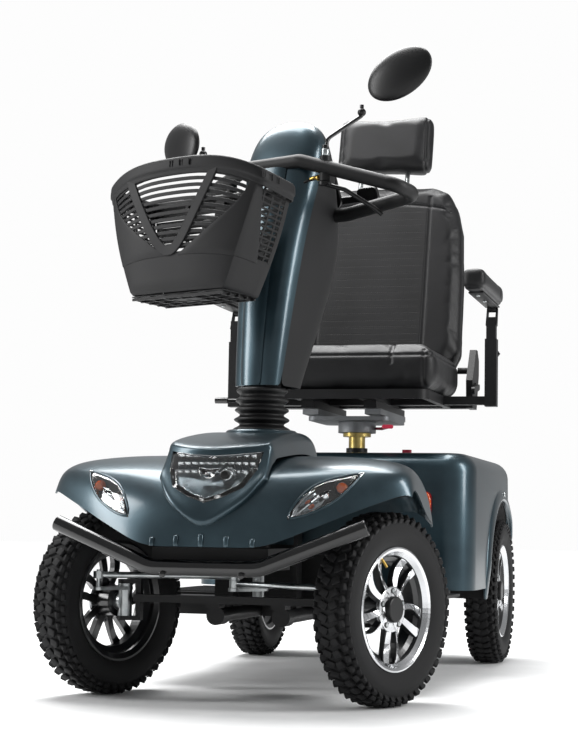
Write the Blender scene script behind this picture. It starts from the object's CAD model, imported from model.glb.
import bpy, bmesh
from math import sin, cos, radians, pi, tau, exp
from mathutils import Vector, Matrix
from mathutils.bvhtree import BVHTree


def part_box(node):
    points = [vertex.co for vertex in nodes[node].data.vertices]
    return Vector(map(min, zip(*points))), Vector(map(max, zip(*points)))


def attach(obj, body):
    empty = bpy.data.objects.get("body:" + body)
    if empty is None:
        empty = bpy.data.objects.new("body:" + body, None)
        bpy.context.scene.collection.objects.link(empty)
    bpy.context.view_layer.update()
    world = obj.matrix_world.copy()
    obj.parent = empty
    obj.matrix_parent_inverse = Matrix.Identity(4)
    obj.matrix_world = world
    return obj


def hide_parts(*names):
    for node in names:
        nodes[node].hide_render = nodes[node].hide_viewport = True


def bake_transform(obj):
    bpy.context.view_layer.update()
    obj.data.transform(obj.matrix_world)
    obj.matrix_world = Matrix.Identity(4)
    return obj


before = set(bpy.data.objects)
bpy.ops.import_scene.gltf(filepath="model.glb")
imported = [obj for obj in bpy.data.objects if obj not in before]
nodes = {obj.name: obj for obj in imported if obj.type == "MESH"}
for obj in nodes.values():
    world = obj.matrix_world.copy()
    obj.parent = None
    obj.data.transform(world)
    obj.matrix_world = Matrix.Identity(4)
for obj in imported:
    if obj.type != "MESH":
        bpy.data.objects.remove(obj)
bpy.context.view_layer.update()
mm = 0.001
steerAxisY = -0.475
restSteer = radians(-22.2)
steerTurn = Matrix.Translation((0, steerAxisY, 0)) @ Matrix.Rotation(restSteer, 4, "Z") @ Matrix.Translation((0, -steerAxisY, 0))
print("frame loaded:", len(nodes), "nodes")


# ---- finishes
def linear(code):
    parts = [int(code[i:i + 2], 16) / 255 for i in (1, 3, 5)]
    return tuple(c / 12.92 if c <= 0.04045 else ((c + 0.055) / 1.055) ** 2.4 for c in parts) + (1.0,)


def addNode(tree, kind, values=None, links=None, **settings):
    made = tree.nodes.new("ShaderNode" + kind)
    for key, value in settings.items():
        setattr(made, key, value)
    for key, value in (values or {}).items():
        made.inputs[key].default_value = value
    for key, value in (links or {}).items():
        tree.links.new(value, made.inputs[key])
    return made


# colours go dark to light with a broad cloud, roughness and height follow a fine grain given in millimetres
def finish(name, dark, light, rough, grain, depth=0.02, pattern="noise", cloud=90.0, **surface):
    material = bpy.data.materials.new(name)
    material.use_nodes = True
    tree = material.node_tree
    tree.nodes.clear()
    place = addNode(tree, "TexCoord").outputs["Object"]
    broad = addNode(tree, "TexNoise", {"Scale": 1000 / cloud, "Detail": 4.0}, {"Vector": place})
    if pattern == "cells":
        fine = addNode(tree, "TexVoronoi", {"Scale": 1000 / grain, "Randomness": 1.0}, {"Vector": place}, feature="DISTANCE_TO_EDGE")
        height = addNode(tree, "MapRange", {"From Min": 0.0, "From Max": 0.25}, {"Value": fine.outputs["Distance"]}).outputs["Result"]
    elif pattern == "holes":
        fine = addNode(tree, "TexVoronoi", {"Scale": 1000 / grain, "Randomness": 0.0}, {"Vector": place})
        height = addNode(tree, "MapRange", {"From Min": 0.16, "From Max": 0.26}, {"Value": fine.outputs["Distance"]}).outputs["Result"]
    elif pattern == "brushed":
        stretched = addNode(tree, "Mapping", {"Scale": (1.0, 1.0, 14.0)}, {"Vector": place})
        fine = addNode(tree, "TexNoise", {"Scale": 1000 / grain, "Detail": 2.0}, {"Vector": stretched.outputs["Vector"]})
        height = fine.outputs["Fac"]
    else:
        fine = addNode(tree, "TexNoise", {"Scale": 1000 / grain, "Detail": 3.0}, {"Vector": place})
        height = fine.outputs["Fac"]
    both = addNode(tree, "Math", {1: 0.35}, {0: height}, operation="MULTIPLY")
    mixed = addNode(tree, "Math", {}, {0: both.outputs[0], 1: broad.outputs["Fac"]}, operation="ADD")
    ramp = addNode(tree, "ValToRGB", {}, {"Fac": mixed.outputs[0]})
    ramp.color_ramp.elements[0].position, ramp.color_ramp.elements[1].position = 0.35, 0.95
    ramp.color_ramp.elements[0].color, ramp.color_ramp.elements[1].color = linear(dark), linear(light)
    gloss = addNode(tree, "MapRange", {"To Min": rough[0], "To Max": rough[1]}, {"Value": broad.outputs["Fac"]})
    bump = addNode(tree, "Bump", {"Strength": 0.6, "Distance": depth * mm}, {"Height": height})
    values = {key.replace("_", " ").title().replace("Ior", "IOR"): value for key, value in surface.items()}
    shader = addNode(tree, "BsdfPrincipled", values, {"Base Color": ramp.outputs["Color"],
                     "Roughness": gloss.outputs["Result"], "Normal": bump.outputs["Normal"]})
    addNode(tree, "OutputMaterial", {}, {"Surface": shader.outputs["BSDF"]})
    return material


# metallic basecoat on moulded ABS: flakes a fraction of a millimetre, drawn at 0.7 mm so they show, under satin lacquer
satinPaint = finish("satinMetallicPaint", "#1d2e36", "#34474f", (0.3, 0.37), 0.7, 0.004, metallic=0.75, coat_weight=0.5, coat_roughness=0.16)
# powder coat on steel tube, glossy with a faint orange peel of about 2 mm
glossBlack = finish("glossPowderCoat", "#040405", "#09090a", (0.14, 0.22), 2.0, 0.01, coat_weight=0.4, coat_roughness=0.1)
# satin powder coat of the frame and tubes
satinBlack = finish("satinPowderCoat", "#060607", "#0e0e10", (0.4, 0.52), 1.2, 0.015, specular_ior_level=0.3)
# moulded polypropylene, spark-eroded texture near 0.8 mm
textured = finish("texturedPolypropylene", "#060607", "#101012", (0.5, 0.62), 0.8, 0.03, specular_ior_level=0.3)
# injection-moulded ABS with a smoother sheen for levers and caps
mouldedAbs = finish("mouldedAbs", "#070708", "#101011", (0.3, 0.42), 1.0, 0.01, specular_ior_level=0.3)
# tyre rubber: dull with a greyish bloom
tyreRubber = finish("tyreRubber", "#08080a", "#151516", (0.62, 0.78), 1.5, 0.05, specular_ior_level=0.3)
# extruded foam and bellows rubber
softRubber = finish("softRubber", "#050506", "#0e0e0f", (0.45, 0.6), 1.4, 0.03, specular_ior_level=0.3)
# die-cast aluminium turned on the face: bright with fine turning lines
turnedAlloy = finish("turnedAluminium", "#b9bbbd", "#dcdddf", (0.16, 0.26), 0.6, 0.004, "brushed", metallic=1.0)
# the same casting painted black in its pockets
pocketPaint = finish("blackPocketPaint", "#08090a", "#121315", (0.25, 0.36), 1.4, 0.01, coat_weight=0.3)
# bright zinc plating with a slight blue-grey cloud
zincPlate = finish("brightZincPlate", "#8e9496", "#c9cccc", (0.24, 0.38), 1.6, 0.012, metallic=1.0, cloud=20.0)
# yellow chromate over zinc, its rainbow cast drifting over a few centimetres
yellowZinc = finish("yellowZincPlate", "#8a7338", "#c9b778", (0.25, 0.4), 1.5, 0.01, metallic=1.0, cloud=25.0)
# sand-cast aluminium, grey and grainy
castAlloy = finish("castAluminium", "#6f7275", "#989a9c", (0.42, 0.56), 0.9, 0.05, metallic=0.9)
# upholstery leather: pores and creases about 1.6 mm apart, a soft sheen on the finish coat
leather = finish("blackLeather", "#070708", "#101012", (0.38, 0.48), 1.6, 0.12, "cells", cloud=60.0, specular_ior_level=0.3)
# the same hide perforated on a grid, drawn at 5 mm so the holes show
perforated = finish("perforatedLeather", "#060606", "#131314", (0.42, 0.52), 5.0, 0.35, "holes", specular_ior_level=0.3)
# bonded polyester thread
thread = finish("polyesterThread", "#161617", "#2a2a2c", (0.5, 0.6), 0.8, 0.05)
# polycarbonate lamp lens, clear and hard
clearLens = finish("clearPolycarbonate", "#eef1f2", "#ffffff", (0.02, 0.05), 8.0, 0.02, transmission_weight=1.0, ior=1.58)
# aluminium vapour on the reflector
mirrorCoat = finish("metallisedReflector", "#b8bcbf", "#eceeef", (0.08, 0.18), 6.0, 0.05, metallic=1.0)
# amber and red acrylic with moulded prisms
amber = finish("amberAcrylic", "#a63a08", "#e0660f", (0.1, 0.2), 2.4, 0.2, "cells", coat_weight=0.6)
redAcrylic = finish("redAcrylic", "#7a0a0c", "#b01517", (0.1, 0.2), 2.4, 0.2, "cells", coat_weight=0.6)
# dip-moulded PVC grips of the levers
redVinyl = finish("redVinyl", "#8e0f2c", "#b81c3d", (0.3, 0.4), 1.2, 0.02)
# mirror glass: silvered, nearly perfect
mirrorGlass = finish("silveredGlass", "#d5d9da", "#e6e9ea", (0.02, 0.04), 30.0, 0.0, metallic=1.0)
brassValve = finish("brass", "#96783a", "#c2a35b", (0.25, 0.35), 1.0, 0.01, metallic=1.0, cloud=12.0)

looks = {
    "main_frame": satinBlack, "bumper_bar": glossBlack, "front_liner": textured, "deck": textured, "deck_mat": softRubber,
    "rear_cover": satinPaint, "reflector_lamps": redAcrylic, "power_pack": textured, "steering_shaft": zincPlate,
    "transaxle": castAlloy, "freewheel_lever": redVinyl, "tiller_column": satinBlack, "console": mouldedAbs,
    "handlebar": softRubber, "brake_cable": mouldedAbs, "mirror_stems": glossBlack, "brake_lever": mouldedAbs,
    "throttle_lever": mouldedAbs, "ignition_key": zincPlate, "speed_dial": mouldedAbs, "horn_button": redVinyl,
    "tiller_tilt_lever": mouldedAbs, "seat_post": yellowZinc, "swivel_plate": castAlloy, "swivel_lever": redVinyl,
    "seat_pan": satinBlack, "seat_slide_lever": glossBlack, "recliner_lever": mouldedAbs, "lamp_housings": mirrorCoat,
    "mirror_head_left": mouldedAbs, "mirror_head_right": mouldedAbs,
}
for side in ("left", "right"):
    looks["knuckle_" + side] = looks["tie_rod_" + side] = zincPlate
    looks["armrest_tube_" + side] = looks["armrest_post_" + side] = satinBlack
for name, look in looks.items():
    nodes[name].data.materials.clear()
    nodes[name].data.materials.append(look)
print("finishes made:", len(bpy.data.materials))


# ---- making pieces
def loft(bm, rings, closed=True, cap=True):
    count = len(rings[0])
    ring = [bm.verts.new(Vector(p) * mm) for p in rings[0]]
    pairs = range(count if closed else count - 1)
    edges = [bm.edges.new((ring[i], ring[(i + 1) % count])) for i in pairs]
    if closed and cap:
        bm.faces.new(ring)
    for points in rings[1:]:
        made = bmesh.ops.extrude_edge_only(bm, edges=edges)["geom"]
        spot = {tuple(round(c, 6) for c in v.co): v for v in made if isinstance(v, bmesh.types.BMVert)}
        ring = [spot[tuple(round(c, 6) for c in v.co)] for v in ring]
        for v, p in zip(ring, points):
            v.co = Vector(p) * mm
        edges = [bm.edges.get((ring[i], ring[(i + 1) % count])) for i in pairs]
    if closed and cap:
        bm.faces.new(ring)


def bake(obj):
    shape = bpy.data.meshes.new_from_object(obj.evaluated_get(bpy.context.evaluated_depsgraph_get()))
    obj.modifiers.clear()
    obj.data = shape


def modify(obj, kind, **settings):
    made = obj.modifiers.new(kind.lower(), kind)
    for key, value in settings.items():
        setattr(made, key, value)
    return made


def piece(name, bm, body, *materials, level=0, merge=0.02, recalc=True, ride=True, smooth=True):
    bmesh.ops.remove_doubles(bm, verts=bm.verts, dist=merge * mm)
    if recalc:
        bmesh.ops.recalc_face_normals(bm, faces=bm.faces)
    mesh = bpy.data.meshes.new(name)
    bm.to_mesh(mesh)
    bm.free()
    obj = bpy.data.objects.new(name, mesh)
    bpy.context.collection.objects.link(obj)
    for material in materials:
        mesh.materials.append(material)
    for face in mesh.polygons:
        face.use_smooth = smooth
    if level:
        modify(obj, "SUBSURF", levels=level, render_levels=level)
    if ride:
        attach(obj, body)
    return obj


def block(bm, size, matrix, bevel=0.0, material=0):
    made = bmesh.ops.create_cube(bm, size=1.0, matrix=matrix @ Matrix.Diagonal((*[s * mm for s in size], 1)))["verts"]
    faces = list({f for v in made for f in v.link_faces})
    for f in faces:
        f.material_index = material
    if bevel:
        edges = list({e for f in faces for e in f.edges})
        bmesh.ops.bevel(bm, geom=edges, offset=bevel * mm, affect="EDGES", segments=2, profile=0.5, material=-1)


def rod(bm, radius, length, matrix, sides=24, bevel=0.0, material=0, top=None):
    made = bmesh.ops.create_cone(bm, cap_ends=True, segments=sides, radius1=radius * mm, radius2=(radius if top is None else top) * mm,
                                 depth=length * mm, matrix=matrix)["verts"]
    faces = list({f for v in made for f in v.link_faces})
    for f in faces:
        f.material_index = material
    if bevel:
        rims = [e for e in {e for f in faces for e in f.edges} if any(len(f.verts) > 4 for f in e.link_faces)]
        bmesh.ops.bevel(bm, geom=rims, offset=bevel * mm, affect="EDGES", segments=2, profile=0.5, material=-1)


def tube(bm, points, radius, sides=10, closed=False):
    rings = []
    count = len(points)
    for i, p in enumerate(points):
        back, ahead = points[max(i - 1, 0)], points[min(i + 1, count - 1)]
        if closed:
            back, ahead = points[i - 1], points[(i + 1) % count]
        along = (Vector(ahead) - Vector(back)).normalized()
        across = along.cross(Vector((0, 0, 1)) if abs(along.z) < 0.9 else Vector((1, 0, 0))).normalized()
        over = along.cross(across)
        size = radius[i] if isinstance(radius, (list, tuple)) else radius
        rings.append([Vector(p) + size * (cos(tau * k / sides) * across + sin(tau * k / sides) * over) for k in range(sides)])
    if closed:
        rings.append(rings[0])
    loft(bm, rings, cap=not closed)


def at(x, y, z):
    return Matrix.Translation((x * mm, y * mm, z * mm))


def turned(angle, axis):
    return Matrix.Rotation(radians(angle), 4, axis)


def smoothPath(points, steps=6):
    out = []
    for i in range(len(points) - 1):
        a, b = Vector(points[i]), Vector(points[i + 1])
        before = Vector(points[i - 1]) if i else a * 2 - b
        after = Vector(points[i + 2]) if i + 2 < len(points) else b * 2 - a
        for k in range(steps):
            t = k / steps
            out.append(0.5 * (2 * a + (b - before) * t + (2 * before - 5 * a + 4 * b - after) * t * t + (3 * a - before - 3 * b + after) * t ** 3))
    return out + [Vector(points[-1])]


# ---- wheels
tyre = {"crown": 172.5, "lug": 177.3, "halfWidth": 38.0, "lugs": 50}
rim = {"flange": 114.5, "halfWidth": 31.0, "hub": 30.0, "pairs": 5, "bolts": 5}


def tyreMesh():
    bm = bmesh.new()
    half = tyre["halfWidth"]
    outline = [(104.5, -26), (113, -27.5), (118, -31), (128, -36), (142, -38), (154, -37), (163, -33), (169, -24), (tyre["crown"], -9),
               (tyre["crown"], 9), (169, 24), (163, 33), (154, 37), (142, 38), (128, 36), (118, 31), (113, 27.5), (104.5, 26),
               (106, 18), (118, 26), (140, 30), (160, 22), (164, 0), (160, -22), (140, -30), (118, -26), (106, -18)]
    ring = [bm.verts.new((r * mm, 0, z * mm)) for r, z in outline]
    edges = [bm.edges.new((ring[i], ring[(i + 1) % len(ring)])) for i in range(len(ring))]
    bmesh.ops.spin(bm, geom=ring + edges, axis=(0, 0, 1), cent=(0, 0, 0), angle=tau, steps=80, use_merge=True)
    # fine moulded ring on each sidewall
    for z in (-37.2, 37.2):
        bmesh.ops.create_cone(bm, segments=80, radius1=0.147, radius2=0.147, depth=0.001, cap_ends=False, matrix=Matrix.Translation((0, 0, z * mm)))
    for k in range(tyre["lugs"]):
        turn = turned(360 * k / tyre["lugs"], "Z")
        half = turned(180 / tyre["lugs"], "Z")
        for side in (1, -1):
            # centre chevron, shoulder lug and edge lug
            block(bm, (7, 13.5, 17), turn @ at(173.6, 0, side * 10.5) @ turned(side * 4, "Y") @ turned(side * 24, "X"), 1.2)
            block(bm, (8, 12.5, 14), turn @ half @ at(169.5, 0, side * 25) @ turned(side * 26, "Y") @ turned(side * 16, "X"), 1.2)
            block(bm, (7, 12, 13), turn @ at(161.2, 0, side * 34) @ turned(side * 58, "Y"), 1.2)
    return bm


def rimMesh():
    bm = bmesh.new()
    lip = [(114.5, 31), (114.5, 27.5), (104.8, 27), (104.4, 16), (91, 11), (91, -11), (104.4, -16), (104.8, -27), (114.5, -27.5),
           (114.5, -31), (110, -31.5), (101, -25), (99, -17), (87, -12), (87, 10), (96, 15), (99, 22), (106, 30), (111, 32)]
    ring = [bm.verts.new((r * mm, 0, z * mm)) for r, z in lip]
    edges = [bm.edges.new((ring[i], ring[(i + 1) % len(ring)])) for i in range(len(ring))]
    bmesh.ops.spin(bm, geom=ring + edges, axis=(0, 0, 1), cent=(0, 0, 0), angle=tau, steps=72, use_merge=True)
    for f in bm.faces:
        middle = f.calc_center_median()
        away = (middle.x ** 2 + middle.y ** 2) ** 0.5
        f.material_index = 0 if away > 0.1005 and middle.z > 0.02 else 1
    # each pair of spokes starts together on the hub, parts and twists on the way to the lip
    for k in range(rim["pairs"]):
        for side in (1, -1):
            rings = []
            for t in range(9):
                u = t / 8
                r = 24 + u * 76
                swing = side * (8 + 11 * sin(u * pi * 0.62)) + 7 * sin(u * pi)
                wide = 7.5 - 1.6 * sin(u * pi) + 2.5 * u * u
                top = 22 - 7 * sin(u * pi * 0.8) + 3 * u
                deep = 15 - 4 * u
                lean = side * 2.5 * sin(u * pi)
                rings.append([(r, swing - wide + 1.2, top + lean), (r, swing + wide - 1.2, top - lean), (r, swing + wide, top - 2 - lean),
                              (r, swing + wide + 1, top - deep), (r, swing - wide - 1, top - deep), (r, swing - wide, top - 2 + lean)])
            start = len(bm.verts)
            before = set(bm.faces)
            loft(bm, rings)
            bm.verts.ensure_lookup_table()
            fresh = [f for f in bm.faces if f not in before]
            bmesh.ops.recalc_face_normals(bm, faces=fresh)
            bmesh.ops.transform(bm, matrix=turned(360 * k / rim["pairs"], "Z"), verts=bm.verts[start:])
            for f in fresh:
                f.normal_update()
                f.material_index = 0 if f.normal.z > 0.75 else 1
    # hub with bolt holes, centre cap and inner boss
    rod(bm, 42, 9, at(0, 0, 16), 48, 2.0)
    rod(bm, 30, 40, at(0, 0, -5), 40, 2.0, 1)
    rod(bm, 24, 12, at(0, 0, 24), 40, 3.0, 2)
    for k in range(rim["bolts"]):
        spot = turned(360 * (k + 0.5) / rim["bolts"], "Z") @ at(34, 0, 0)
        rod(bm, 5.6, 2, spot @ at(0, 0, 20.4), 20, 0.4, 1)
        rod(bm, 3.8, 3, spot @ at(0, 0, 21.2), 6, 0.4, 3)
    # valve stem through the well
    rod(bm, 2.6, 22, turned(198, "Z") @ at(90, 0, 19) @ turned(-62, "Y"), 12, 0.5, 4)
    return bm


corners = {}
for side, sign in (("left", 1), ("right", -1)):
    kingpin = at(sign * (273.5 - 40 * cos(restSteer)), -582, 177.5) @ Matrix.Rotation(restSteer, 4, "Z")
    corners["front_" + side] = kingpin @ at(sign * 40, 0, 0) @ turned(sign * 90, "Y")
    corners["rear_" + side] = at(sign * 298.5, 582, 177.5) @ turned(sign * 90, "Y")
for corner, place in corners.items():
    bm = tyreMesh()
    bmesh.ops.transform(bm, matrix=place, verts=bm.verts)
    made = piece("treadTyre_" + corner, bm, "wheel_" + corner, tyreRubber)
    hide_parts("tyre_" + corner)
    bm = rimMesh()
    bmesh.ops.transform(bm, matrix=place, verts=bm.verts)
    made = piece("spokedRim_" + corner, bm, "wheel_" + corner, turnedAlloy, pocketPaint, mouldedAbs, zincPlate, brassValve, smooth=False)
    modify(made, "BEVEL", width=0.6 * mm, segments=1, limit_method="ANGLE", angle_limit=radians(50))
    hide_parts("rim_" + corner)
print("wheels made")

# ---- front body: one smooth skin over both wheels, with the lamp pod and hump on top
bodySkin = {"wall": 3.5}
frontRows = [
    (0, [(-851, 287), (-850, 306), (-845, 332), (-830, 363), (-800, 399), (-760, 429), (-632, 455), (-520, 462), (-432, 457), (-402, 425), (-399, 290)]),
    (60, [(-850, 287), (-848, 306), (-842, 332), (-827, 363), (-797, 400), (-758, 430), (-632, 455), (-520, 462), (-432, 457), (-402, 425), (-399, 290)]),
    (111, [(-843, 287), (-841, 305), (-835, 332), (-818, 366), (-790, 402), (-751, 431), (-632, 455), (-520, 462), (-432, 456), (-402, 424), (-399, 290)]),
    (165, [(-817, 311), (-815, 326), (-808, 350), (-791, 382), (-766, 412), (-736, 435), (-632, 456), (-520, 461), (-432, 452), (-404, 420), (-400, 311)]),
    (215, [(-789, 334), (-787, 347), (-781, 368), (-767, 393), (-746, 416), (-720, 436), (-632, 456), (-520, 459), (-434, 446), (-409, 412), (-405, 334)]),
    (262, [(-759, 356), (-757, 367), (-752, 384), (-741, 402), (-725, 419), (-705, 435), (-632, 453), (-522, 453), (-441, 436), (-418, 402), (-414, 356)]),
    (300, [(-730, 372), (-728, 380), (-725, 392), (-717, 406), (-707, 419), (-692, 431), (-632, 449), (-528, 444), (-452, 422), (-432, 388), (-428, 362)]),
    (325, [(-708, 383), (-706, 389), (-703, 399), (-698, 409), (-689, 419), (-677, 428), (-630, 441), (-537, 430), (-466, 402), (-450, 370), (-446, 346)]),
    (339, [(-692, 385), (-690, 389), (-687, 396), (-682, 404), (-674, 412), (-662, 419), (-625, 424), (-545, 408), (-482, 378), (-468, 352), (-464, 336)]),
    (343, [(-688, 380), (-686, 383), (-682, 387), (-676, 391), (-668, 394), (-656, 394), (-620, 385), (-552, 352), (-492, 338), (-478, 332), (-474, 328)]),
]


def mirrored(rows):
    whole = [[(x, y, z) for y, z in row] for x, row in reversed(rows)]
    return whole + [[(-x, y, z) for y, z in row] for x, row in rows if x > 0]


def cutter(outline, near, far):
    bm = bmesh.new()
    loft(bm, [[(x, near, z) for x, z in outline], [(x, far, z) for x, z in outline]])
    return piece("cutter", bm, "", ride=False)


def cut(obj, tools):
    for tool in tools:
        modify(obj, "BOOLEAN", operation="DIFFERENCE", solver="EXACT", object=tool)
    bake(obj)
    for tool in tools:
        bpy.data.objects.remove(tool)


def skin(name, bm, body, material, wall, level, tools=(), inward=-1.0):
    made = piece(name, bm, body, material, level=level, ride=False)
    modify(made, "SOLIDIFY", thickness=wall * mm, offset=inward)
    if tools:
        cut(made, tools)
    else:
        bake(made)
    for face in made.data.polygons:
        face.use_smooth = True
    modify(made, "EDGE_SPLIT", split_angle=radians(42))
    bake(made)
    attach(made, body)
    return made


lensOutline = [(-86, 458), (-40, 452), (0, 449), (40, 452), (86, 458), (82, 424), (66, 392), (32, 374), (0, 364), (-32, 374), (-66, 392), (-82, 424)]
signalOutline = [(147, 337), (150, 352), (163, 376), (181, 397), (205, 409), (235, 417), (262, 424), (248, 401), (230, 377), (205, 359), (175, 344)]
tools = [cutter([(s * x, z) for x, z in signalOutline], -900, -690) for s in (1, -1)]
bm = bmesh.new()
loft(bm, mirrored(frontRows), closed=False)
frontBody = skin("frontBody", bm, "chassis", satinPaint, bodySkin["wall"], 3, tools)

podRows = [
    (0, [(-842, 314), (-852, 323), (-846, 344), (-834, 368), (-815, 398), (-799, 428), (-789, 450), (-792, 458), (-780, 468), (-700, 484), (-600, 498), (-520, 508), (-455, 507), (-408, 492), (-400, 440)]),
    (30, [(-841, 332), (-851, 340), (-844, 354), (-832, 370), (-813, 399), (-797, 428), (-784, 451), (-787, 459), (-775, 469), (-698, 484), (-600, 498), (-520, 508), (-455, 507), (-408, 492), (-400, 440)]),
    (58, [(-830, 352), (-841, 359), (-836, 369), (-825, 380), (-806, 404), (-789, 430), (-772, 454), (-775, 462), (-763, 472), (-694, 486), (-600, 499), (-520, 508), (-455, 507), (-408, 491), (-400, 440)]),
    (80, [(-812, 372), (-823, 378), (-818, 388), (-808, 400), (-794, 415), (-778, 436), (-759, 459), (-761, 466), (-750, 476), (-690, 488), (-600, 500), (-520, 508), (-455, 506), (-409, 489), (-400, 440)]),
    (92, [(-792, 396), (-803, 402), (-799, 409), (-791, 417), (-780, 427), (-767, 443), (-750, 463), (-751, 469), (-742, 478), (-688, 488), (-600, 499), (-520, 506), (-455, 503), (-410, 486), (-401, 438)]),
    (98, [(-786, 404), (-794, 410), (-791, 416), (-784, 422), (-774, 431), (-761, 445), (-746, 462), (-745, 467), (-738, 473), (-686, 482), (-600, 493), (-520, 499), (-455, 496), (-413, 480), (-402, 435)]),
    (101, [(-780, 404), (-784, 408), (-781, 413), (-775, 419), (-766, 427), (-753, 436), (-738, 441), (-734, 444), (-726, 448), (-684, 452), (-600, 460), (-520, 465), (-455, 463), (-417, 450), (-403, 425)]),
]
bm = bmesh.new()
loft(bm, mirrored(podRows), closed=False)
lampPod = skin("lampPod", bm, "chassis", satinPaint, 3.0, 3, [cutter(lensOutline, -900, -700)])
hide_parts("front_cowl")
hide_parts("front_fenders")

# five raised vents along the chin
bm = bmesh.new()
for x, high in ((-92, 300), (-46, 304), (0, 307), (46, 304), (92, 300)):
    y = -848 + 0.0007 * x * x
    rings = [[(x - 5 * s, y + 2 - 9 * d, z) for s, d in ((1, 0), (1, 0.7), (0.6, 1), (-0.6, 1), (-1, 0.7), (-1, 0))]
             for z in (287, 289, high, high + 4)]
    rings[-1] = [(p[0], y + 2 + (p[1] - y - 2) * 0.25, p[2]) for p in rings[-1]]
    loft(bm, rings)
piece("chinVents", bm, "chassis", satinPaint, level=1)

# black inner wheel liners under the skin, so the arches are dark
bm = bmesh.new()
liner = [(x, [(y + 12 if i < 5 else y, z - 7) for i, (y, z) in enumerate(row)]) for x, row in frontRows[2:9]]
for sign in (1, -1):
    loft(bm, [[(sign * (x if x < 335 else 334), y, z) for y, z in row[1:9]] for x, row in liner], closed=False)
inner = skin("frontArchLiners", bm, "chassis", textured, 1.5, 1)

# ---- lamps
def dense(outline, parts=6):
    return [tuple(a + (b - a) * k / parts for a, b in zip(p, q)) for p, q in zip(outline, outline[1:] + outline[:1]) for k in range(parts)]


def faceY(x, z, rows, lead):
    ahead = [(x0, row) for x0, row in rows]
    value = []
    for x0, row in ahead:
        part = [(z1, y1) for y1, z1 in row[:lead]]
        y = part[-1][1]
        for (za, ya), (zb, yb) in zip(part, part[1:]):
            if za <= z <= zb:
                y = ya + (yb - ya) * (z - za) / max(zb - za, 0.01)
                break
        else:
            if z < part[0][0]:
                y = part[0][1]
        value.append((x0, y))
    x = abs(x)
    for (xa, ya), (xb, yb) in zip(value, value[1:]):
        if xa <= x <= xb:
            return ya + (yb - ya) * (x - xa) / (xb - xa)
    return value[-1][1]


def shrink(outline, share):
    cx = sum(p[0] for p in outline) / len(outline)
    cz = sum(p[1] for p in outline) / len(outline)
    return [(cx + (x - cx) * share, cz + (z - cz) * share) for x, z in outline]


def lens(outline, rows, lead, back, name):
    bm = bmesh.new()
    rings = []
    for share, sink in ((1.0, 8), (1.0, 1.5), (0.985, 0), (0.8, -1.2), (0.55, -2), (0.28, -2.5), (0.06, -2.7)):
        rings.append([(x, faceY(x, z, rows, lead) + back + sink, z) for x, z in shrink(dense(outline), share)])
    loft(bm, rings, cap=False)
    made = piece(name, bm, "chassis", clearLens, ride=False)
    modify(made, "SOLIDIFY", thickness=0.0022, offset=-1)
    bake(made)
    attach(made, "chassis")
    return made


def bowl(bm, outline, rows, lead, depth, steps):
    rings = []
    for share, sink in steps:
        rings.append([(x, faceY(*dense(outline)[i], rows, lead) + 4 + sink, z) for i, (x, z) in enumerate(shrink(dense(outline), share))])
    loft(bm, rings, cap=False)


headLens = lens(lensOutline, podRows, 7, 1, "headLens")
bm = bmesh.new()
bowl(bm, lensOutline, podRows, 7, 60, ((1.0, 0), (0.99, 20), (0.94, 34), (0.78, 46), (0.45, 54), (0.2, 57), (0.02, 58)))
reflector = piece("headReflector", bm, "chassis", mirrorCoat, level=2, ride=False)
modify(reflector, "SOLIDIFY", thickness=0.0015, offset=1)
bake(reflector)
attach(reflector, "chassis")
# pillow facets of the multi-reflector, stepped back towards the bulb, which sits in a dark shield
bm = bmesh.new()
for i in range(-6, 7):
    for j in range(6):
        x, z = i * 13.2, 375 + j * 14.0
        reach = 84 - max(0, 418 - z) * 0.75
        if abs(x) > reach - 7:
            continue
        near = faceY(x, min(z, 449), podRows, 7)
        grid = []
        for a in range(5):
            row = []
            for b in range(5):
                u, v = a / 2 - 1, b / 2 - 1
                deep = 8 + 26 * (1 - ((x + u * 6.4) / 92) ** 2) * (1 - ((z + v * 6.8 - 416) / 50) ** 2) + 3.2 * (u * u + v * v)
                row.append(Vector((x + u * 6.4, near - v * 3.6 + deep, z + v * 6.8)) * mm)
            grid.append([bm.verts.new(p) for p in row])
        for a in range(4):
            for b in range(4):
                bm.faces.new((grid[a][b], grid[a + 1][b], grid[a + 1][b + 1], grid[a][b + 1]))
facets = piece("headFacets", bm, "chassis", mirrorCoat)
bm = bmesh.new()
rod(bm, 15, 16, at(28, -788, 414) @ turned(90, "X"), 32, 2.0, 0, 10)
rod(bm, 8, 26, at(28, -796, 414) @ turned(90, "X"), 24, 2.0, 1)
piece("headBulb", bm, "chassis", mirrorCoat, mouldedAbs)
for sign, side in ((1, "left"), (-1, "right")):
    outline = [(sign * x, z) for x, z in signalOutline]
    lens(outline, frontRows, 6, -0.5, "signalLens_" + side)
    bm = bmesh.new()
    bowl(bm, outline, frontRows, 6, 20, ((1.02, -2), (0.97, 8), (0.85, 16), (0.6, 20), (0.3, 21), (0.04, 21)))
    made = piece("signalReflector_" + side, bm, "chassis", mirrorCoat, level=2, ride=False)
    modify(made, "SOLIDIFY", thickness=0.0015, offset=1)
    bake(made)
    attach(made, "chassis")
    # silver bezel round the lens and the amber bulbs inside
    bm = bmesh.new()
    path = [(x, faceY(x, z, frontRows, 6) - 0.5, z) for x, z in shrink(outline, 1.02)]
    tube(bm, path, 2.4, 8, closed=True)
    piece("signalBezel_" + side, bm, "chassis", satinPaint, level=1)
    bm = bmesh.new()
    for u, size in ((0.28, 10), (0.5, 8), (0.72, 11)):
        x, z = 147 + u * 112, 345 + u * 68
        rod(bm, size, 12, at(sign * x, faceY(x, z, frontRows, 6) + 10, z) @ turned(90, "X"), 20, 2.5, 0 if size > 8 else 1, size * 0.7)
    piece("signalBulbs_" + side, bm, "chassis", amber, mirrorCoat)
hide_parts("lamp_lenses")
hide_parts("lamp_housings")
print("front body and lamps made")


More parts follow.
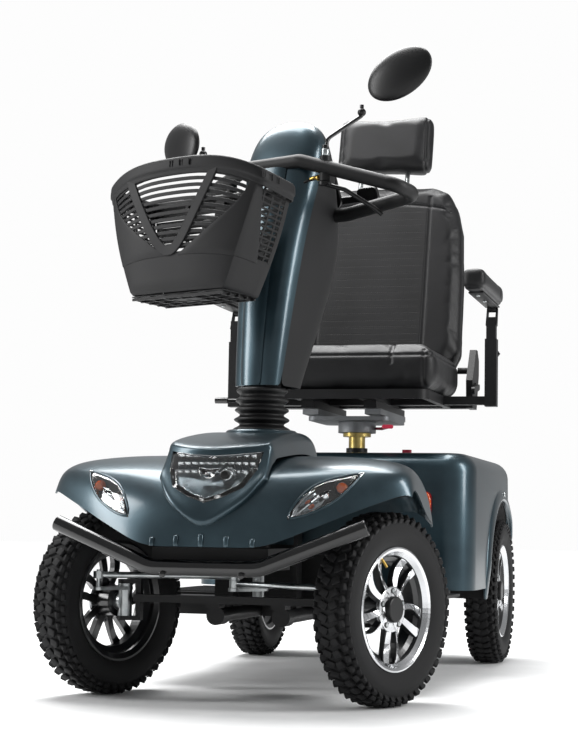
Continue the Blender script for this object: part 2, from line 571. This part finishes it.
# ---- tiller: painted front shell, black rear shell, both lofted up their height
def steered(bm):
    bmesh.ops.transform(bm, matrix=steerTurn, verts=bm.verts)
    return bm


# height, front, seam and rear along y, half width
tillerRows = [
    (599, -513, -484, -390, 51), (640, -512, -477, -374, 54), (690, -509, -469, -350, 57), (760, -504, -458, -320, 61), (830, -496, -447, -290, 66),
    (900, -486, -434, -280, 71), (960, -475, -422, -292, 78), (1010, -464, -411, -316, 85), (1055, -453, -400, -338, 89),
    (1090, -441, -391, -354, 84), (1115, -430, -386, -366, 73), (1131, -419, -382, -374, 56), (1140, -408, -384, -380, 32)]
frontRings, rearRings = [], []
for z, ahead, seam, back, half in tillerRows:
    deep = seam - ahead
    frontRings.append([(s * half * a, seam - deep * b, z) for s, a, b in ((1, 1, 0), (1, 0.99, 0.3), (1, 0.93, 0.6), (1, 0.78, 0.84), (1, 0.45, 0.97),
                       (1, 0.0, 1.0), (-1, 0.45, 0.97), (-1, 0.78, 0.84), (-1, 0.93, 0.6), (-1, 0.99, 0.3), (-1, 1, 0))])
    deep = back - seam
    rearRings.append([(s * (half - 0.6) * a, seam + 0.8 + deep * b, z) for s, a, b in ((1, 1, 0), (1, 0.99, 0.25), (1, 0.95, 0.55), (1, 0.86, 0.82),
                      (1, 0.62, 0.97), (1, 0.0, 1.0), (-1, 0.62, 0.97), (-1, 0.86, 0.82), (-1, 0.95, 0.55), (-1, 0.99, 0.25), (-1, 1, 0))])
bm = bmesh.new()
loft(bm, frontRings + [[(p[0] * 0.2, -400 + (p[1] + 400) * 0.2, 1143) for p in frontRings[-1]]], closed=False)
frontShell = skin("tillerFrontSkin", steered(bm), "tiller", satinPaint, 3.0, 2)
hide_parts("tiller_front_shell")
bm = bmesh.new()
loft(bm, rearRings + [[(p[0] * 0.2, -392 + (p[1] + 392) * 0.2, 1141) for p in rearRings[-1]]], closed=False)
rearShell = skin("tillerRearSkin", steered(bm), "tiller", textured, 3.0, 2)
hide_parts("tiller_rear_shell")
# raised spine down the front of the painted shell and the stepped band round its shoulders
bm = bmesh.new()
rings = []
for z, ahead, seam, back, half in tillerRows[:9]:
    wide = 17 + (z - 599) * 0.03
    rings.append([(wide + 6, ahead + 2.2, z), (wide, ahead - 2.6, z), (wide * 0.5, ahead - 4.2, z), (0, ahead - 4.6, z), (-wide * 0.5, ahead - 4.2, z),
                  (-wide, ahead - 2.6, z), (-wide - 6, ahead + 2.2, z)])
loft(bm, rings, closed=False)
skin("tillerSpine", steered(bm), "tiller", satinPaint, 2.0, 2, inward=1.0)

# bellows between the body and the tiller
boot = {"foot": 506, "head": 596, "folds": 4, "outer": 57, "inner": 43}
bm = bmesh.new()
outline = [(60, boot["foot"])]
for k in range(boot["folds"] * 2 + 1):
    z = boot["foot"] + 8 + k * (boot["head"] - boot["foot"] - 14) / (boot["folds"] * 2)
    far = boot["outer"] - k * 0.7 if k % 2 == 0 else boot["inner"]
    outline += [(far, z - 2.2), (far, z + 2.2)]
outline += [(46, boot["head"])]
chain = [bm.verts.new((r * mm, 0, z * mm)) for r, z in outline]
links = [bm.edges.new(pair) for pair in zip(chain, chain[1:])]
bmesh.ops.spin(bm, geom=chain + links, axis=(0, 0, 1), cent=(0, 0, 0), angle=tau, steps=48, use_merge=True)
bmesh.ops.translate(bm, vec=(0, steerAxisY, 0), verts=bm.verts)
bellows = piece("tillerBellows", bm, "steering", softRubber, level=1, ride=False)
modify(bellows, "SOLIDIFY", thickness=0.002, offset=-1)
bake(bellows)
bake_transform(bellows)
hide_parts("tiller_boot")
# painted ring the bellows sits on
bm = bmesh.new()
outline = [(74, 499), (72, 508), (66, 513), (60, 513), (58, 506)]
chain = [bm.verts.new((r * mm, 0, z * mm)) for r, z in outline]
links = [bm.edges.new(pair) for pair in zip(chain, chain[1:])]
bmesh.ops.spin(bm, geom=chain + links, axis=(0, 0, 1), cent=(0, 0, 0), angle=tau, steps=48, use_merge=True)
bmesh.ops.translate(bm, vec=(0, steerAxisY, 0), verts=bm.verts)
piece("bellowsRing", bm, "chassis", satinPaint, level=1)

# ---- basket: an open moulding of slats, bands and a rolled rim
basket = {"slats": 12, "wall": 3.4, "sideSlats": 13, "band": 0.3}


def basketWall(u, v):
    low = Vector((112 * u, -738 - 8 * (1 - abs(u) ** 3), 757))
    high = Vector((180 * u, -722 - 28 * (1 - abs(u) ** 3), 962 + 34 * (1 - abs(u) ** 3)))
    lean = 0.7 * u ** 3
    return low.lerp(high, v) + 7 * sin(v * pi) * Vector((lean, -1 + 0.3 * abs(u) ** 3, 0))


def basketSide(sign, s, v):
    low = Vector((112 * sign, -738, 757)).lerp(Vector((114 * sign, -640, 748)), s)
    high = Vector((180 * sign, -722, 962)).lerp(Vector((170 * sign, -614, 950)), s)
    return low.lerp(high, v) + 7 * sin(v * pi) * Vector((sign * (0.7 + 0.3 * min(1, 3 * s)), -0.7 * max(0, 1 - 3 * s), 0))


def basketBack(u, v):
    return Vector((114 * u, -640, 748)).lerp(Vector((170 * u, -614, 950)), v)


def strip(bm, points, height, thick, ups=None):
    rings = []
    for i, p in enumerate(points):
        along = (Vector(points[min(i + 1, len(points) - 1)]) - Vector(points[max(i - 1, 0)])).normalized()
        up = Vector(ups[i]) if ups else Vector((0, 0, 1))
        up = (up - along * up.dot(along)).normalized()
        out = along.cross(up)
        rings.append([Vector(p) + a * height / 2 * up + b * thick / 2 * out for a, b in ((-1, -1), (1, -1), (1, 1), (-1, 1))])
    loft(bm, rings)


def panel(bm, place, us, vs, thick):
    loft(bm, [[place(u, v) for u in us] for v in vs], closed=False)


bm = bmesh.new()
spread = [i / 9 for i in range(-9, 10)]
for k in range(basket["slats"]):
    v = 0.33 + k * 0.62 / basket["slats"]
    strip(bm, [basketWall(u * 0.985, v + 0.02 * (1 - u * u)) for u in spread], 6.8, basket["wall"])
for sign in (1, -1):
    for k in range(basket["sideSlats"]):
        v = 0.3 + k * 0.63 / basket["sideSlats"]
        strip(bm, [basketSide(sign, s / 6, v) for s in range(7)], 4.2, basket["wall"])
    for s in (0.25, 0.5, 0.75):
        strip(bm, [basketSide(sign, s, 0.26 + 0.7 * t / 6) for t in range(7)], 5, basket["wall"], [(0, 1, 0)] * 7)
for k in range(basket["slats"]):
    v = 0.2 + k * 0.75 / basket["slats"]
    strip(bm, [basketBack(u, v) for u in spread], 6, basket["wall"])
for u in (-0.5, 0, 0.5):
    strip(bm, [basketBack(u, t / 6) for t in range(7)], 22 if u == 0 else 8, basket["wall"], [(1, 0, 0)] * 7)
slats = piece("basketSlats", steered(bm), "basket", textured, smooth=False)
modify(slats, "BEVEL", width=0.9 * mm, segments=2, limit_method="ANGLE", angle_limit=radians(40))

# the solid parts: lower bands, corner swooshes and the centre loop, each with thickness
bm = bmesh.new()
lowV = [0.0, 0.03, 0.1, 0.18, 0.26, basket["band"]]


def aroundFront(v, inset=0.0):
    sides = [k / 6 for k in range(7)]
    path = [basketSide(-1, s, v) for s in reversed(sides[1:])] + [basketWall(u, v) for u in spread] + [basketSide(1, s, v) for s in sides[1:]]
    return [p + inset * (Vector((0, -675, p.z)) - p).normalized() for p in path]


loft(bm, [[p + Vector((0, 0, 3)) for p in aroundFront(0.0, 9.0)]] + [aroundFront(v, 3.0 if v == 0.0 else 0.0) for v in lowV], closed=False)
panel(bm, basketBack, spread, [0.0, 0.1, 0.2], 4)
for sign in (1, -1):
    # broad band that wraps the front corner and narrows up to the rim
    rings = []
    for k in range(13):
        t = k / 12
        v = basket["band"] - 0.03 + t * 0.73
        inner, outer = 1 - 0.85 * (1 - t) ** 2.6 - 0.06, 0.5 * (1 - t) ** 1.2 + 0.1
        rings.append([basketWall(sign * (inner + (1 - inner) * j / 5), v) + Vector((0, -1.5, 0)) for j in range(6)]
                     + [basketSide(sign, outer * j / 5, v) + Vector((sign * 1.5, 0, 0)) for j in range(1, 6)])
    loft(bm, rings, closed=False)
    # upright band beside the back corner
    loft(bm, [[basketSide(sign, s, 0.25 + 0.72 * t / 8) for s in (0.88, 0.94, 1.0)] for t in range(9)], closed=False)
bands = piece("basketBands", steered(bm), "basket", textured, ride=False)
modify(bands, "SOLIDIFY", thickness=0.004, offset=0)
modify(bands, "BEVEL", width=1.2 * mm, segments=2, limit_method="ANGLE", angle_limit=radians(50))
bake(bands)
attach(bands, "basket")
# flat loop from the rim down to the lower band and back
bm = bmesh.new()
loop = [(-0.66 + 1.21 * k / 28, 1 - 0.69 * sin(pi * k / 28) ** 0.8) for k in range(29)]
spots = [basketWall(u, v) + Vector((0, -2.5, 0)) for u, v in loop]
flat = [(spots[min(i + 1, 28)] - spots[max(i - 1, 0)]).normalized().cross(Vector((0, 1, 0))) for i in range(29)]
strip(bm, spots, 19, 5, flat)
swoosh = piece("basketLoop", steered(bm), "basket", textured, smooth=False)
modify(swoosh, "BEVEL", width=1.4 * mm, segments=2, limit_method="ANGLE", angle_limit=radians(40))
# rolled rim with an inner step
rimPath = [basketWall(u, 1.0) for u in spread] + [basketSide(1, s / 5, 1.0) for s in range(1, 6)] + [basketBack(-u, 1.0) for u in spread[1:]] \
    + [basketSide(-1, 1 - s / 5, 1.0) for s in range(1, 5)]
middle = Vector((0, -675, 955))
rings = []
for p in rimPath:
    out = Vector((p.x - middle.x, p.y - middle.y, 0)).normalized()
    rings.append([p + a * out + Vector((0, 0, b)) for a, b in ((-5, 2), (-4, 8), (3, 10), (9, 9), (12, 4), (12.5, -12), (10.5, -14), (8.5, -14.5), (8, -24), (5, -24.5), (4, -10), (2, 0), (-4, -3))])
rings.append(rings[0])
bm = bmesh.new()
loft(bm, rings, cap=False)
for i in range(4, len(rimPath) - 2, 1):
    if i % 9 in (0, 1, 2):
        p = rimPath[i]
        out = Vector((p.x - middle.x, p.y - middle.y, 0)).normalized()
        for k in (-3, 3):
            side = Vector((-out.y, out.x, 0)) * k
            rod(bm, 1.4, 12, Matrix.Translation((p + out * 12.2 + side + Vector((0, 0, -3))) * mm), 8, 0.4)
piece("basketRim", steered(bm), "basket", textured, level=1)
# floor grid with the stepped edge and the centre plate
bm = bmesh.new()
for k in range(-3, 4):
    strip(bm, [(k * 34, -737 + 96 * t / 4, 748 - 3 * t / 4) for t in range(5)], 3.4, 5, [(1, 0, 0)] * 5)
for y in (-737, -713, -689, -665, -642):
    strip(bm, [(x, y, 748 - (y + 737) * 0.03) for x in (-110, -50, 0, 50, 110)], 3.4, 5, [(0, 1, 0)] * 5)
block(bm, (222, 98, 2), at(0, -690, 751.5) @ turned(-1.7, "X"), 0.6)
block(bm, (58, 46, 4.5), at(0, -694, 747.5), 1.0)
block(bm, (62, 9, 5), at(0, -716, 747), 1.0)
floorGrid = piece("basketFloor", steered(bm), "basket", textured, smooth=False)
# socket behind the basket that drops over the bracket
bm = bmesh.new()
block(bm, (66, 22, 78), at(0, -622, 872), 5)
piece("basketSocket", steered(bm), "basket", textured)
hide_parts("basket")
print("tiller and basket made")

# ---- mirrors
mirror = {"size": (73, 15, 49)}
for side, spot, lean, swing in (("left", (232, -352, 1222), -24, 8), ("right", (-292, -402, 1132), 14, -20)):
    place = at(*spot) @ turned(lean, "Y") @ turned(swing, "Z")
    bm = bmesh.new()
    bmesh.ops.create_uvsphere(bm, u_segments=48, v_segments=24, radius=1.0, matrix=turned(90, "X"))
    bmesh.ops.scale(bm, vec=[v * mm for v in mirror["size"]], verts=bm.verts)
    bmesh.ops.bisect_plane(bm, geom=bm.verts[:] + bm.edges[:] + bm.faces[:], plane_co=(0, 0.006, 0), plane_no=(0, 1, 0), clear_outer=True)
    rims = [e for e in bm.edges if e.is_boundary]
    face = bmesh.ops.contextual_create(bm, geom=rims)["faces"]
    bmesh.ops.inset_region(bm, faces=face, thickness=0.003, depth=0)
    bmesh.ops.translate(bm, vec=(0, -0.002, 0), verts=list({v for f in face for v in f.verts}))
    for f in face:
        f.material_index = 1
    bmesh.ops.translate(bm, vec=(0, 0.004, 0), verts=bm.verts)
    bmesh.ops.transform(bm, matrix=steerTurn @ place, verts=bm.verts)
    shell = piece("mirrorShell_" + side, bm, "mirror_head_" + side, mouldedAbs, mirrorGlass)
    modify(shell, "EDGE_SPLIT", split_angle=radians(50))
    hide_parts("mirror_head_" + side)
    bm = bmesh.new()
    end = (158, -372, 1149) if side == "left" else (-222, -408, 1103)
    bmesh.ops.create_uvsphere(bm, u_segments=24, v_segments=12, radius=0.0085, matrix=at(*end))
    perch = (118 if side == "left" else -118, -438, 1029)
    rod(bm, 8.5, 14, at(perch[0], perch[1], 1060), 6, 1.0, 1)
    rod(bm, 6.5, 8, at(perch[0], perch[1], 1071), 24, 1.0, 0)
    piece("mirrorJoint_" + side, steered(bm), "tiller", mouldedAbs, zincPlate)
# brass barrel adjuster where the brake cable meets the lever
bm = bmesh.new()
rod(bm, 4.2, 15, at(93, -442, 1011) @ turned(80, "Y"), 16, 0.8)
rod(bm, 6.0, 5, at(103, -440, 1011) @ turned(80, "Y"), 12, 0.6)
piece("cableAdjuster", steered(bm), "tiller", brassValve)

# ---- upholstery
pad = {"voxel": 0.006, "pressure": 4.0, "frames": 20}


def puff(obj, cap):
    modify(obj, "REMESH", mode="VOXEL", voxel_size=pad["voxel"])
    bake(obj)
    scene = bpy.context.scene
    start = [v.co.copy() for v in obj.data.vertices]
    cloth = modify(obj, "CLOTH")
    cloth.settings.use_pressure = True
    cloth.settings.uniform_pressure_force = pad["pressure"]
    cloth.settings.effector_weights.gravity = 0
    for k in range(1, pad["frames"] + 1):
        scene.frame_set(k)
    bake(obj)
    for v, was in zip(obj.data.vertices, start):
        move = v.co - was
        if move.length > cap * mm:
            v.co = was + move.normalized() * cap * mm
    scene.frame_set(1)
    modify(obj, "SMOOTH", factor=0.5, iterations=4)
    bake(obj)
    modify(obj, "SUBSURF", levels=1, render_levels=1)
    bake(obj)
    for face in obj.data.polygons:
        face.use_smooth = True


# pulls the surface in along a seam; away() gives millimetres from the seam for a point
def sew(obj, away, depth=3.2, width=3.6):
    mesh = obj.data
    for v in mesh.vertices:
        d = away(v.co / mm, v.normal)
        if d is not None and abs(d) < width * 3:
            v.co -= v.normal * depth * mm * exp(-(d / width) ** 2)
    mesh.update()


def stitches(name, obj, body, lines, toward, pitch=7.0):
    tree = BVHTree.FromObject(obj, bpy.context.evaluated_depsgraph_get())
    bm = bmesh.new()
    for line in lines:
        for a, b in zip(line, line[1:]):
            a, b = Vector(a), Vector(b)
            for k in range(int((b - a).length / pitch)):
                spot = a.lerp(b, (k + 0.5) * pitch / (b - a).length)
                hit, normal, _, _ = tree.ray_cast(spot * mm - toward * 0.12, toward)
                if hit is None:
                    continue
                along = ((b - a) - normal * (b - a).dot(normal)).normalized()
                grid = Matrix((along, normal.cross(along), normal)).transposed().to_4x4()
                block(bm, (5.0, 1.3, 0.9), Matrix.Translation(hit) @ grid, 0)
    piece(name, bm, body, thread, merge=0.001, smooth=False)


def slab(bm, size, matrix, bevel, segments=5):
    made = bmesh.ops.create_cube(bm, size=1.0, matrix=matrix @ Matrix.Diagonal((*[s * mm for s in size], 1)))["verts"]
    edges = list({e for v in made for e in v.link_edges})
    bmesh.ops.bevel(bm, geom=edges, offset=bevel * mm, affect="EDGES", segments=segments, profile=0.5, material=-1)


lean = radians(15.5)
backOrigin = Vector((0, 505 - 33 * cos(lean), 720 + 33 * sin(lean)))
backUp = Vector((0, sin(lean), cos(lean)))
backFront = Vector((0, -cos(lean), sin(lean)))
backPlace = Matrix.Translation(backOrigin * mm) @ Matrix(((1, 0, 0), (0, backUp.y, backFront.y), (0, backUp.z, backFront.z))).to_4x4()


def backLocal(p):
    p = Vector(p) - backOrigin
    return p.x, p.dot(backUp), p.dot(backFront)


def onBack(u, v, w=0):
    return Vector((u, 0, 0)) + backOrigin + backUp * v + backFront * w


# seat cushion
bm = bmesh.new()
slab(bm, (494, 358, 92), at(0, 277, 693), 30)
cushion = piece("seatCushion", bm, "seat", leather, perforated, ride=False)
puff(cushion, 11)
sew(cushion, lambda p, n: p.z - 722 if abs(p.x) > 200 or p.y < 135 or p.y > 430 else None)
sew(cushion, lambda p, n: abs(p.x) - 136 if n.z > 0.25 or (n.y < -0.3 and p.z > 700) else None)
sew(cushion, lambda p, n: (abs(p.x) - 212) if n.y < -0.5 and p.y < 120 else None, 2.6)
for face in cushion.data.polygons:
    face.material_index = 1 if abs(face.center.x) < 0.132 and face.normal.z > 0.6 else 0
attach(cushion, "seat")
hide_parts("seat_cushion")
stitches("cushionStitches", cushion, "seat", [[(s * (136 + o), 110, 740), (s * (136 + o), 440, 740)] for s in (1, -1) for o in (-5, 5)], Vector((0, 0, -1)))
stitches("cushionEdgeStitches", cushion, "seat", [[(-200, 100, 722 + o), (200, 100, 722 + o)] for o in (-5, 5)], Vector((0, 1, 0)))
print("seat cushion made")

# backrest
bm = bmesh.new()
outline = [(214, -10), (238, 44), (239, 150), (238, 250), (228, 390), (210, 455), (186, 497), (146, 516), (70, 520), (0, 521)]
outline += [(-x, y) for x, y in reversed(outline[:-1])]
face = bm.faces.new([bm.verts.new((x * mm, y * mm, -10 * mm)) for x, y in outline])
made = bmesh.ops.extrude_face_region(bm, geom=[face])["geom"]
bmesh.ops.translate(bm, vec=(0, 0, -0.072), verts=[g for g in made if isinstance(g, bmesh.types.BMVert)])
bmesh.ops.recalc_face_normals(bm, faces=bm.faces)
caps = [e for e in bm.edges if all(abs(v.co.z - e.verts[0].co.z) < 1e-6 for v in e.verts)]
bmesh.ops.bevel(bm, geom=caps, offset=0.02, affect="EDGES", segments=4, profile=0.5, material=-1, clamp_overlap=True)
bmesh.ops.transform(bm, matrix=backPlace, verts=bm.verts)
back = piece("backCushion", bm, "backrest", leather, perforated, ride=False)
puff(back, 12)


def facing(n):
    return n.dot(backFront) > 0.25


def seamSides(p, n):
    u, v, w = backLocal(p)
    return abs(u) - 136 if facing(n) and v < 470 else None


def seamTop(p, n):
    u, v, w = backLocal(p)
    return (v - (452 - 0.0006 * u * u)) if facing(n) and abs(u) < 190 else None


def seamRim(p, n):
    u, v, w = backLocal(p)
    return w + 46 if abs(n.dot(backFront)) < 0.7 else None


for away in (seamSides, seamTop, seamRim):
    sew(back, away)
for face in back.data.polygons:
    u, v, w = backLocal(face.center / mm)
    face.material_index = 1 if abs(u) < 132 and v < 446 and face.normal.dot(backFront) > 0.6 else 0
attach(back, "backrest")
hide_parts("backrest")
lines = [[onBack(s * (136 + o), 20), onBack(s * (136 + o), 440)] for s in (1, -1) for o in (-5, 5)]
lines += [[onBack(u, 452 - 0.0006 * u * u + o) for u in range(-180, 181, 30)] for o in (-5, 5)]
stitches("backStitches", back, "backrest", lines, -backFront)
# moulded shell behind the back cushion
bm = bmesh.new()
slab(bm, (380, 400, 12), backPlace @ at(0, 230, -86), 5, 3)
piece("backShell", bm, "backrest", textured)

# headrest on its two posts
bm = bmesh.new()
slab(bm, (256, 166, 58), backPlace @ at(0, 548 + 90, -40), 24)
head = piece("headCushion", bm, "headrest", leather, ride=False)
puff(head, 8)
sew(head, lambda p, n: abs(backLocal(p)[0]) - 112 if abs(n.x) < 0.8 else None, 2.6, 3.0)
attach(head, "headrest")
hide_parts("headrest")
bm = bmesh.new()
for x in (-62, 62):
    rod(bm, 6, 150, backPlace @ at(x, 490, -44) @ turned(-90, "X"), 20, 0.6)
piece("headPosts", bm, "headrest", zincPlate)
print("back and head made")

# arm pads
for side, sign in (("left", 1), ("right", -1)):
    bm = bmesh.new()
    out = 333 if sign > 0 else -303
    slab(bm, (52, 310, 47), at(out, 209, 885), 12, 4)
    arm = piece("armPad_" + side, bm, "armrest_pad_" + side, leather, ride=False)
    puff(arm, 5)
    sew(arm, lambda p, n: p.z - 868, 1.8, 2.4)
    sew(arm, lambda p, n: p.y - 300 if n.z > -0.4 else None, 1.8, 2.4)
    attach(arm, "armrest_pad_" + side)
    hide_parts("armrest_pad_" + side)
    bm = bmesh.new()
    block(bm, (34, 262, 4), at(out, 226, 859), 1.0)
    block(bm, (16.6, 15, 12), at(out, 356, 855), 1.5)
    for y in (130, 230):
        rod(bm, 5, 4, at(out, y, 856), 6, 0.5, 1)
    piece("armPadBase_" + side, bm, "armrest_pad_" + side, satinBlack, zincPlate)
print("arm pads made")

# ---- rear body
rear = {"half": 325, "front": 110, "back": 790, "top": 500, "arch": 225, "wall": 4}
bm = bmesh.new()
made = bmesh.ops.create_cube(bm, size=1.0, matrix=at(0, 450, 345) @ Matrix.Diagonal((0.65, 0.68, 0.31, 1)))["verts"]
bmesh.ops.delete(bm, geom=[f for f in bm.faces if f.normal.z < -0.5], context="FACES_ONLY")
upright = [e for e in bm.edges if abs(e.verts[0].co.z - e.verts[1].co.z) > 0.1]
topEdges = [e for e in bm.edges if all(v.co.z > 0.4 for v in e.verts)]
bmesh.ops.bevel(bm, geom=upright, offset=0.07, affect="EDGES", segments=8, profile=0.5, material=-1)
topEdges = [e for e in bm.edges if all(v.co.z > 0.49 for v in e.verts) and len(e.link_faces) == 2 and abs(e.link_faces[0].normal.dot(e.link_faces[1].normal)) < 0.3]
bmesh.ops.bevel(bm, geom=topEdges, offset=0.042, affect="EDGES", segments=6, profile=0.5, material=-1)
for v in bm.verts:
    # the front wall and the rear wall lean in towards the top
    t = max(0.0, (v.co.z - 0.33) / 0.17)
    if v.co.y < 0.2:
        v.co.y += 0.012 * t
    if v.co.y > 0.7:
        v.co.y -= 0.03 * t
tools = []
for sign in (1, -1):
    bc = bmesh.new()
    rod(bc, rear["arch"], 130, at(sign * 300, 582, 177.5) @ turned(90, "Y"), 96)
    tools.append(piece("cutter", bc, "", ride=False))
bc = bmesh.new()
block(bc, (800, 260, 200), at(0, 582 + 130 + 75, 198), 0)
tools.append(piece("cutter", bc, "", ride=False))
bc = bmesh.new()
rod(bc, 30, 60, at(0, 376, 500), 40)
block(bc, (18, 74, 60), at(100, 500, 500), 0)
tools.append(piece("cutter", bc, "", ride=False))
rearBody = skin("rearBody", bm, "chassis", satinPaint, rear["wall"], 0, tools)
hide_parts("rear_cover")
bm = bmesh.new()
for sign in (1, -1):
    # flared lip round each arch
    rings = []
    for k in range(33):
        a = radians(-4 + k * 152 / 32)
        fade = min(1, k / 4, (32 - k) / 4 + 0.2)
        rings.append([(sign * x, 582 - r * cos(a), 177.5 + r * sin(a)) for r, x in
                      ((223, 316), (222.5, 325 + 7 * fade), (226, 326 + 8 * fade), (244, 326 + 5 * fade), (252, 323.5), (250, 318))])
    loft(bm, rings)
piece("archLips", bm, "chassis", satinPaint, level=1)
bm = bmesh.new()
for sign in (1, -1):
    arc = [radians(-3 + k * 152 / 30) for k in range(31)]
    loft(bm, [[(sign * x, 582 - r * cos(a), 177.5 + r * sin(a)) for a in arc] for x, r in ((318, 229), (238, 229), (236, 226), (236, 120), (236, 86))], closed=False)
skin("rearArchLiners", bm, "chassis", textured, 2.0, 0)
# screws at the arch tops
bm = bmesh.new()
for sign in (1, -1):
    rod(bm, 6, 4, at(sign * 333, 582, 177.5 + 238) @ turned(90, "Y"), 16, 1.0)
piece("archScrews", bm, "chassis", zincPlate)
# amber side markers and their bezels
bm = bmesh.new()
for sign in (1, -1):
    rings = []
    for grow, y in ((1.0, 110), (1.0, 104), (0.86, 101.5), (0.4, 100.8), (0.05, 100.6)):
        rings.append([(sign * 222 + 12 * grow * cos(tau * k / 20), y, 384 + grow * (26 * sin(tau * k / 20))) for k in range(20)])
    loft(bm, rings)
piece("frontMarkers", bm, "chassis", amber, level=1)
print("rear body made")

# ---- springs over the dampers
low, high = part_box("shock_absorbers")
spring = {"turns": 6, "wire": 3.4, "coil": 17}
bm = bmesh.new()
for sign in (1, -1):
    x, y = sign * (high.x / mm - 21) if hasattr(high, "x") else sign * (high[0] / mm - 21), (low[1] + high[1]) / 2 / mm
    z0, z1 = low[2] / mm, high[2] / mm
    path = [(x + spring["coil"] * cos(a), y + spring["coil"] * sin(a), z0 + 8 + (z1 - z0 - 24) * k / 96)
            for k, a in ((k, k * spring["turns"] * tau / 96) for k in range(97))]
    tube(bm, path, spring["wire"], 8)
    rod(bm, 8, z1 - z0, at(x, y, (z0 + z1) / 2), 24, 1.0)
    rod(bm, 20, 5, at(x, y, z0 + 4), 32, 1.2)
    rod(bm, 20, 5, at(x, y, z1 - 14), 32, 1.2)
coils = piece("shockSprings", bm, "rear_axle", glossBlack, ride=False)
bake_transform(coils)
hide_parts("shock_absorbers")

# end caps and clamp bolts on the bumper bar
bm = bmesh.new()
for sign in (1, -1):
    rod(bm, 6, 5, at(sign * 72, -842, 238) @ turned(90, "X"), 6, 0.8)
piece("bumperBolts", bm, "chassis", glossBlack)

# ---- studio
bm = bmesh.new()
bmesh.ops.create_circle(bm, cap_ends=True, segments=96, radius=30)
studioFloor = piece("studioFloor", bm, "", finish("paleSweep", "#eceded", "#f6f6f6", (0.5, 0.6), 40.0, 0.0), ride=False)
# the sweep glows faintly away from the scooter, as a lit backdrop would
sweep = studioFloor.data.materials[0].node_tree
spotAt = addNode(sweep, "TexCoord").outputs["Object"]
away = addNode(sweep, "VectorMath", {}, {0: spotAt}, operation="LENGTH")
glow = addNode(sweep, "MapRange", {"From Min": 1.2, "From Max": 5.0, "To Min": 0.0, "To Max": 0.75}, {"Value": away.outputs["Value"]})
ground = next(n for n in sweep.nodes if n.type == "BSDF_PRINCIPLED")
ground.inputs["Emission Color"].default_value = (1, 1, 1, 1)
sweep.links.new(glow.outputs["Result"], ground.inputs["Emission Strength"])
world = bpy.data.worlds.new("softWorld")
world.use_nodes = True
bpy.context.scene.world = world
bpy.context.scene.view_settings.view_transform = "Standard"
world.node_tree.nodes["Background"].inputs["Color"].default_value = linear("#fbfcfd")
sky = world.node_tree
sky.nodes["Background"].inputs["Strength"].default_value = 0.34
seen = addNode(sky, "Background", {"Color": linear("#fdfdfd"), "Strength": 1.0})
ray = addNode(sky, "LightPath")
chosen = addNode(sky, "MixShader", {}, {0: ray.outputs["Is Camera Ray"], 1: sky.nodes["Background"].outputs[0], 2: seen.outputs[0]})
sky.links.new(chosen.outputs[0], sky.nodes["World Output"].inputs["Surface"])


def softbox(name, spot, target, size, power):
    lamp = bpy.data.lights.new(name, "AREA")
    lamp.shape = "RECTANGLE"
    lamp.size, lamp.size_y = size
    lamp.energy = power
    obj = bpy.data.objects.new(name, lamp)
    bpy.context.collection.objects.link(obj)
    obj.matrix_world = Matrix.Translation(spot) @ (Vector(spot) - Vector(target)).to_track_quat("Z", "Y").to_matrix().to_4x4()


softbox("overheadBox", (-0.6, 0.6, 3.2), (0, -0.1, 0.6), (2.6, 2.2), 210)
softbox("leftBox", (-3.0, -1.6, 1.8), (0, -0.2, 0.5), (0.7, 2.4), 80)
softbox("rightBox", (3.0, -0.4, 1.9), (0, 0.1, 0.5), (0.6, 2.2), 70)

camera = bpy.data.objects.new("camera", bpy.data.cameras.new("camera"))
bpy.context.collection.objects.link(camera)
bpy.context.scene.camera = camera
view = {"spot": (0.9266, -3.7250, 0.3195), "yaw": 15.03, "pitch": 5.135, "roll": 0.962, "lens": 82.65}
a, e, f = radians(view["yaw"]), radians(-view["pitch"]), radians(view["roll"])
back = Vector((sin(a) * cos(e), -cos(a) * cos(e), sin(e)))
side = (-back).cross(Vector((0, 0, 1))).normalized()
over = side.cross(-back)
side, over = cos(f) * side + sin(f) * over, cos(f) * over - sin(f) * side
camera.matrix_world = Matrix.Translation(view["spot"]) @ Matrix((side, over, back)).transposed().to_4x4()
camera.data.lens = view["lens"]
camera.data.sensor_width = 36
camera.data.clip_end = 100

print("scene ready")
